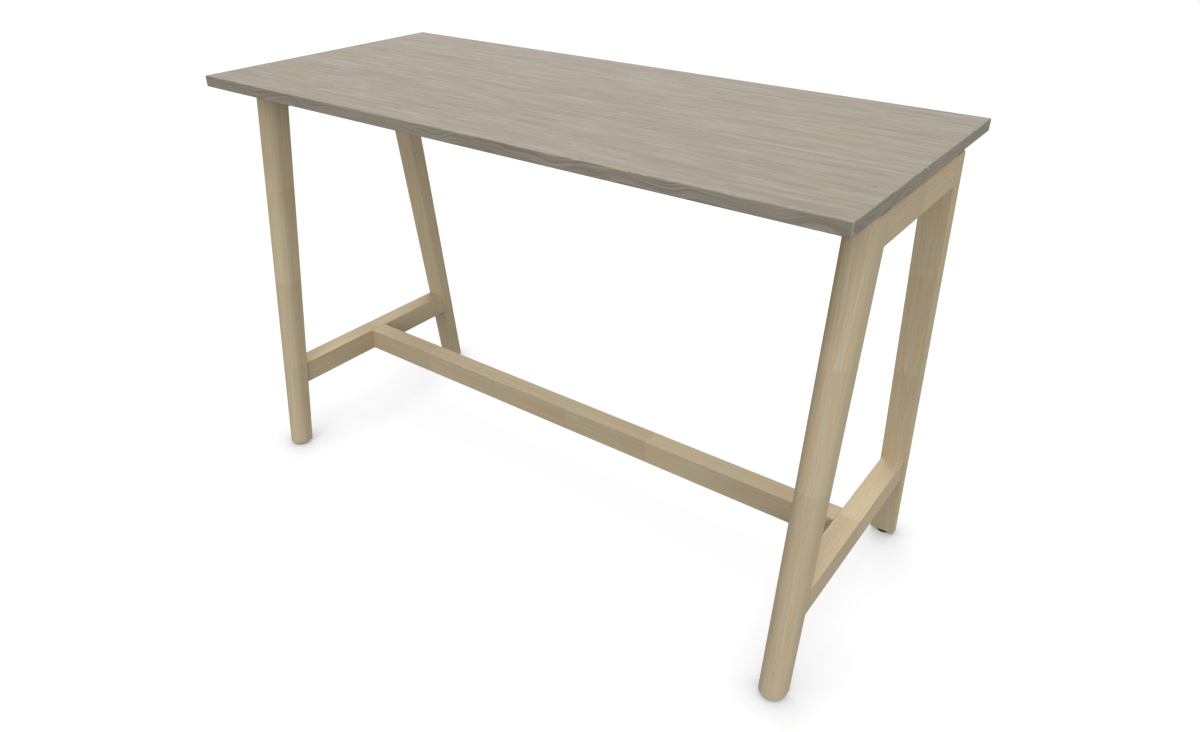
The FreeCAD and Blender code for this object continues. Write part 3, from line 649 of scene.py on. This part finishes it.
class HIGHTABLE_OT_tabletop(bpy.types.Operator):
    """Dress the tabletop and its four edge bands"""

    bl_idname = "hightable.tabletop"
    bl_label = "Dress the tabletop"

    def execute(self, context):
        look = context.scene.high_table_colours
        sizes = context.scene.high_table_sizes
        coat(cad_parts["tabletop_board"], decor_finish(look, sizes))
        for node in BANDS:
            along = ALONG_X if node.endswith(("front", "rear")) else ALONG_Y
            coat(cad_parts[node], band_finish(look, sizes, node, along))
        return {"FINISHED"}


class HIGHTABLE_OT_end_frames(bpy.types.Operator):
    """Dress the legs and the rails, with the grain along each piece"""

    bl_idname = "hightable.end_frames"
    bl_label = "Dress the end frames"

    def execute(self, context):
        look = context.scene.high_table_colours
        sizes = context.scene.high_table_sizes
        for count, node in enumerate(LEGS):
            low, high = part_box(node)
            lean = (high.y - low.y) - sizes.leg_depth
            tilt = lean if "front" in node else -lean
            along = Vector((0, tilt, high.z - low.z))
            coat(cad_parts[node], oak_finish(look, sizes, node, along, LEG_PATTERN + count, 2))
        for count, node in enumerate(RAILS):
            coat(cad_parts[node], oak_finish(look, sizes, node, ALONG_Y, RAIL_PATTERN + count, 1))
        coat_nodes(DOWEL_NODES, dowel_finish(look))
        return {"FINISHED"}


class HIGHTABLE_OT_stretcher(bpy.types.Operator):
    """Dress the stretcher"""

    bl_idname = "hightable.stretcher"
    bl_label = "Dress the stretcher"

    def execute(self, context):
        look = context.scene.high_table_colours
        sizes = context.scene.high_table_sizes
        _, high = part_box("stretcher")
        finish = oak_finish(look, sizes, "stretcher", ALONG_X, STRETCHER_PATTERN, 0, high.x)
        coat(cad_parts["stretcher"], finish)
        return {"FINISHED"}


def weld_seam(sizes, name, beam, plate):
    """A weld round three sides of a beam where it meets its plate."""
    leg = sizes.weld
    low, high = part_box(beam)
    plate_low, plate_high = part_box(plate)
    outwards = 1 if plate_low.x > 0 else -1
    face = plate_low.x if outwards > 0 else plate_high.x
    seam = face - outwards * leg / 2
    middle = (low + high) / 2
    wide = high.y - low.y
    tall = high.z - low.z
    deselect()
    bpy.ops.mesh.primitive_cube_add(size=1, location=(seam, middle.y, middle.z - leg / 2))
    bead = named(name)
    bead.scale = (leg, wide + 2 * leg, tall + leg)
    settle(bead)
    bpy.ops.object.mode_set(mode="EDIT")
    choose(bead, lambda item: abs(item.calc_center_median().x - face) > leg / 2)
    taper = (1, wide / (wide + 2 * leg), tall / (tall + leg))
    bpy.ops.transform.resize(value=taper, center_override=(face, middle.y, high.z))
    choose(bead, lambda item: abs(item.verts[0].co.x - item.verts[1].co.x) > leg / 2, "edges")
    bpy.ops.mesh.bevel(offset=leg * WELD_ROUND, segments=4)
    bpy.ops.object.mode_set(mode="OBJECT")
    deselect()
    bpy.ops.mesh.primitive_cube_add(size=1, location=(seam, middle.y, middle.z + leg))
    tube = named("tube_space")
    tube.scale = (leg * 3, wide - sizes.weld_bite, tall + 2 * leg - sizes.weld_bite)
    settle(tube)
    bpy.ops.object.mode_set(mode="EDIT")
    choose(tube, lambda item: abs(item.verts[0].co.x - item.verts[1].co.x) > leg, "edges")
    bpy.ops.mesh.bevel(offset=sizes.beam_round, segments=6)
    bpy.ops.object.mode_set(mode="OBJECT")
    cut(bead, tube)
    tidy(bead, 60)
    return bead


class HIGHTABLE_OT_beams(bpy.types.Operator):
    """Paint the steel beams and their plates, and run the welds between them"""

    bl_idname = "hightable.beams"
    bl_label = "Dress the beams"

    def execute(self, context):
        sizes = context.scene.high_table_sizes
        paint = paint_finish(context.scene.high_table_colours)
        coat_nodes(BEAMS + PLATES, paint)
        for depth, side in CORNERS:
            bead = weld_seam(sizes, f"weld_{depth}_{side}", f"beam_{depth}", f"beam_plate_{depth}_{side}")
            coat(bead, paint)
            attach(bead, "table")
        return {"FINISHED"}


def button_bolt(sizes, head_radius, head_height, shank_length):
    """A button-head bolt about its own Z, its head upwards from the origin and its shank below."""
    profile = [
        (sizes.shank - sizes.shank_point, -shank_length),
        (sizes.shank, sizes.shank_point - shank_length),
        (sizes.shank, 0),
        (head_radius - sizes.head_rim, 0),
        (head_radius, sizes.head_rim),
    ]
    profile += rounded_top(head_radius, head_height, sizes.head_round)
    bolt = turned("beam_bolt", profile, sizes.turned_sides)
    cut(bolt, add_hexagon("key_space", sizes.socket, 2 * sizes.socket_depth, head_height))
    tidy(bolt)
    return bolt


class HIGHTABLE_OT_bolts(bpy.types.Operator):
    """Model the beam bolts with rounded heads and key sockets"""

    bl_idname = "hightable.bolts"
    bl_label = "Model the beam bolts"

    def execute(self, context):
        sizes = context.scene.high_table_sizes
        low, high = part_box("beam_bolts")
        plate_low, plate_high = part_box("beam_plate_front_right")
        head_radius = (high.z - low.z) / 2
        inner_reach = min(abs(vertex.co.x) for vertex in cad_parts["beam_bolts"].data.vertices)
        bolt = button_bolt(sizes, head_radius, plate_low.x - inner_reach, high.x - plate_low.x)
        spread = (plate_high.y - plate_low.y) / 2 - sizes.bolt_inset
        copies = []
        for depth, side in CORNERS:
            middle = centre_of(f"beam_plate_{depth}_{side}")
            outwards = 1 if middle.x > 0 else -1
            turn = Matrix.Rotation(math.radians(-90 * outwards), 4, "Y")
            for sign in (-1, 1):
                place = Vector((outwards * plate_low.x, middle.y + sign * spread, (low.z + high.z) / 2))
                copies.append(placed_copy(bolt, Matrix.Translation(place) @ turn))
        bpy.data.objects.remove(bolt)
        bolts = joined("socket_bolts", copies)
        coat(bolts, bpy.data.materials["zinc_steel"])
        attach(bolts, "table")
        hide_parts("beam_bolts")
        return {"FINISHED"}


class HIGHTABLE_OT_fixings(bpy.types.Operator):
    """Plate the screws, studs, nuts, washers and insert nuts"""

    bl_idname = "hightable.fixings"
    bl_label = "Dress the fixings"

    def execute(self, context):
        coat_nodes(ZINC_NODES, zinc_finish(context.scene.high_table_colours))
        return {"FINISHED"}


def foot_pad(sizes, radius, height):
    """A moulded pad: flat below, rounded rim, a ring groove on top and a cup for the stem."""
    rim = rounded_top(radius, height, sizes.pad_round)
    profile = [(edge, height - level) for edge, level in reversed(rim)] + rim
    outer = radius - sizes.pad_rim
    inner = outer - sizes.groove
    profile += [
        (outer, height),
        (outer - sizes.groove_slope, height - sizes.groove_depth),
        (inner + sizes.groove_slope, height - sizes.groove_depth),
        (inner, height),
        (sizes.cup + sizes.cup_edge, height),
        (sizes.cup, height - sizes.cup_edge),
        (sizes.cup, height - sizes.cup_depth),
    ]
    return turned("foot_pad_moulded", profile, sizes.turned_sides)


def foot_stem(sizes, low, high, collar_low, collar_high):
    """A levelling screw: a knob in the pad, a hexagon collar and a thread."""
    knob_profile = [(sizes.knob_tip, low), (sizes.knob, low + sizes.knob_edge), (sizes.knob, collar_low)]
    knob = turned("stem_knob", knob_profile, sizes.turned_sides)
    crest = sizes.thread
    root = crest - sizes.thread_depth
    height = collar_high
    profile = [(crest, height)]
    while height + sizes.thread_pitch < high - sizes.thread_end:
        profile.append((root, height + sizes.thread_pitch / 2))
        height += sizes.thread_pitch
        profile.append((crest, height))
    profile += [(crest, high - sizes.thread_point), (crest - sizes.thread_point, high)]
    thread = turned("stem_thread", profile, sizes.thread_sides)
    collar_middle = (collar_low + collar_high) / 2
    collar = add_hexagon("stem_collar", sizes.collar, collar_high - collar_low, collar_middle)
    settle(collar)
    bpy.ops.object.mode_set(mode="EDIT")
    choose(collar, lambda item: abs(item.verts[0].co.z - item.verts[1].co.z) < SAME_PLACE, "edges")
    bpy.ops.mesh.bevel(offset=sizes.collar_edge, segments=2)
    bpy.ops.object.mode_set(mode="OBJECT")
    tidy(collar)
    return joined("levelling_stem", [knob, collar, thread])


class HIGHTABLE_OT_feet(bpy.types.Operator):
    """Model the levelling pads and their threaded stems"""

    bl_idname = "hightable.feet"
    bl_label = "Model the levelling feet"

    def execute(self, context):
        look = context.scene.high_table_colours
        sizes = context.scene.high_table_sizes
        pad_low, pad_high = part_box("foot_pad_front_right")
        stem_low, stem_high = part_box("foot_stem_front_right")
        insert_low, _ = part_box("foot_insert_nuts")
        pad = foot_pad(sizes, (pad_high.x - pad_low.x) / 2, pad_high.z)
        stem = foot_stem(sizes, stem_low.z, stem_high.z, pad_high.z, insert_low.z)
        coat(pad, plastic_finish(look))
        coat(stem, bpy.data.materials["zinc_steel"])
        for depth, side in CORNERS:
            middle = centre_of(f"foot_pad_{depth}_{side}")
            place = Matrix.Translation((middle.x, middle.y, 0))
            for model, kind, slot in ((pad, "pad", "black_plastic"), (stem, "stem", "zinc_steel")):
                copy = placed_copy(model, place)
                copy.name = f"levelling_{kind}_{depth}_{side}"
                copy.data.name = copy.name
                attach(copy, f"{kind}_{depth}_{side}")
                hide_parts(f"foot_{kind}_{depth}_{side}")
        bpy.data.objects.remove(pad)
        bpy.data.objects.remove(stem)
        return {"FINISHED"}


# Light, floor and camera
def add_lamp(name, place, spread, strength):
    """A far soft lamp that points at the table and lights all of it alike."""
    deselect()
    bpy.ops.object.light_add(type="SUN", location=place)
    lamp = named(name)
    lamp.rotation_euler = (LAMP_AIM - Vector(place)).to_track_quat("-Z", "Y").to_euler()
    lamp.data.angle = spread
    lamp.data.energy = strength


def floor_finish(setup):
    """A pale floor that the camera sees as white, with the object's shadow in it: a little from the lamps,
    and painted contact shade from ambient occlusion.
    """
    make = Finish("floor")
    nodes = make.tree.nodes
    nodes.remove(make.shader)
    diffuse = make.add("ShaderNodeBsdfDiffuse")
    make.feed_colour(diffuse.inputs["Color"], setup.floor)
    # Painted shade: ambient occlusion darkens the floor's glow and its lamp-lit share near the pieces.
    contact = make.add("ShaderNodeAmbientOcclusion", samples=CONTACT_SAMPLES)
    contact.inputs["Distance"].default_value = setup.floor_reach
    lit = make.math("ADD", contact.outputs["AO"], setup.floor_ease, clamp=True)
    shadow = make.add("ShaderNodeBsdfDiffuse")
    make.feed(shadow.inputs["Color"], make.shade(setup.floor_shadow, lit))
    glow = make.add("ShaderNodeEmission")
    make.feed(glow.inputs["Color"], lit)
    glow.inputs["Strength"].default_value = setup.floor_glow
    both = make.add("ShaderNodeAddShader")
    choice = make.add("ShaderNodeMixShader")
    rays = make.add("ShaderNodeLightPath")
    seen = make.math("MAXIMUM", rays.outputs["Is Camera Ray"], rays.outputs["Is Glossy Ray"])
    seen = make.math("MAXIMUM", seen, rays.outputs["Is Transmission Ray"])
    make.feed(both.inputs[0], shadow.outputs[0])
    make.feed(both.inputs[1], glow.outputs[0])
    make.feed(choice.inputs[0], seen)
    make.feed(choice.inputs[1], diffuse.outputs[0])
    make.feed(choice.inputs[2], both.outputs[0])
    make.feed(nodes["Material Output"].inputs["Surface"], choice.outputs[0])
    return make.material


def light_world(scene, setup):
    """Even light from all round, white to the camera and in reflections."""
    world = bpy.data.worlds.new("studio")
    scene.world = world
    world.use_nodes = True
    tree = world.node_tree
    even = tree.nodes["Background"]
    even.inputs["Color"].default_value = (1, 1, 1, 1)
    even.inputs["Strength"].default_value = setup.sky
    white = tree.nodes.new("ShaderNodeBackground")
    white.inputs["Color"].default_value = (1, 1, 1, 1)
    white.inputs["Strength"].default_value = 1
    rays = tree.nodes.new("ShaderNodeLightPath")
    seen = rays.outputs["Is Camera Ray"]
    for kind in ("Is Glossy Ray", "Is Transmission Ray"):
        either = tree.nodes.new("ShaderNodeMath")
        either.operation = "MAXIMUM"
        tree.links.new(seen, either.inputs[0])
        tree.links.new(rays.outputs[kind], either.inputs[1])
        seen = either.outputs[0]
    choice = tree.nodes.new("ShaderNodeMixShader")
    tree.links.new(seen, choice.inputs[0])
    tree.links.new(even.outputs[0], choice.inputs[1])
    tree.links.new(white.outputs[0], choice.inputs[2])
    tree.links.new(choice.outputs[0], tree.nodes["World Output"].inputs["Surface"])


def add_camera(setup):
    """The camera, turned by its azimuth and looking down by its drop."""
    deselect()
    bpy.ops.object.camera_add(location=setup.camera_place)
    camera = named("camera")
    azimuth = setup.camera_azimuth
    drop = setup.camera_drop
    level = math.cos(drop)
    backwards = Vector((math.sin(azimuth) * level, -math.cos(azimuth) * level, math.sin(drop)))
    camera.rotation_euler = backwards.to_track_quat("Z", "Y").to_euler()
    camera.data.sensor_fit = "HORIZONTAL"
    camera.data.sensor_width = SENSOR_WIDTH
    camera.data.lens = setup.camera_lens
    return camera


class HIGHTABLE_OT_stage(bpy.types.Operator):
    """Set the floor, the lamps, the even light and the camera"""

    bl_idname = "hightable.stage"
    bl_label = "Set the stage"

    def execute(self, context):
        scene = context.scene
        setup = scene.high_table_stage
        deselect()
        bpy.ops.mesh.primitive_plane_add(size=FLOOR_SIZE)
        floor = named("floor")
        coat(floor, floor_finish(setup))
        light_world(scene, setup)
        add_lamp("key", setup.key_place, setup.lamp_spread, setup.key)
        add_lamp("back", setup.back_place, setup.lamp_spread, setup.back)
        add_lamp("over", setup.over_place, setup.over_spread, setup.over)
        scene.camera = add_camera(setup)
        scene.view_settings.view_transform = "Standard"
        return {"FINISHED"}


class HIGHTABLE_PT_pieces(bpy.types.Panel):
    """The table's pieces, in the order that they are made"""

    bl_label = "High table"
    bl_idname = "HIGHTABLE_PT_pieces"
    bl_space_type = "VIEW_3D"
    bl_region_type = "UI"
    bl_category = "High table"

    def draw(self, context):
        for operator in OPERATORS:
            self.layout.operator(operator.bl_idname)


OPERATORS = (
    HIGHTABLE_OT_stage,
    HIGHTABLE_OT_tabletop,
    HIGHTABLE_OT_end_frames,
    HIGHTABLE_OT_stretcher,
    HIGHTABLE_OT_fixings,
    HIGHTABLE_OT_beams,
    HIGHTABLE_OT_bolts,
    HIGHTABLE_OT_feet,
)
CLASSES = (HighTableColours, HighTableSizes, HighTableStage, *OPERATORS, HIGHTABLE_PT_pieces)


def register():
    """Register the classes and give each scene their settings."""
    for item in CLASSES:
        bpy.utils.register_class(item)
    bpy.types.Scene.high_table_colours = PointerProperty(type=HighTableColours)
    bpy.types.Scene.high_table_sizes = PointerProperty(type=HighTableSizes)
    bpy.types.Scene.high_table_stage = PointerProperty(type=HighTableStage)


def unregister():
    """Take the settings and the classes away again."""
    del bpy.types.Scene.high_table_colours
    del bpy.types.Scene.high_table_sizes
    del bpy.types.Scene.high_table_stage
    for item in reversed(CLASSES):
        bpy.utils.unregister_class(item)


def main():
    """Build everything in order."""
    register()
    bpy.ops.hightable.stage()
    bpy.ops.hightable.tabletop()
    bpy.ops.hightable.end_frames()
    bpy.ops.hightable.stretcher()
    bpy.ops.hightable.fixings()
    bpy.ops.hightable.beams()
    bpy.ops.hightable.bolts()
    bpy.ops.hightable.feet()


if __name__ == "__main__":
    main()
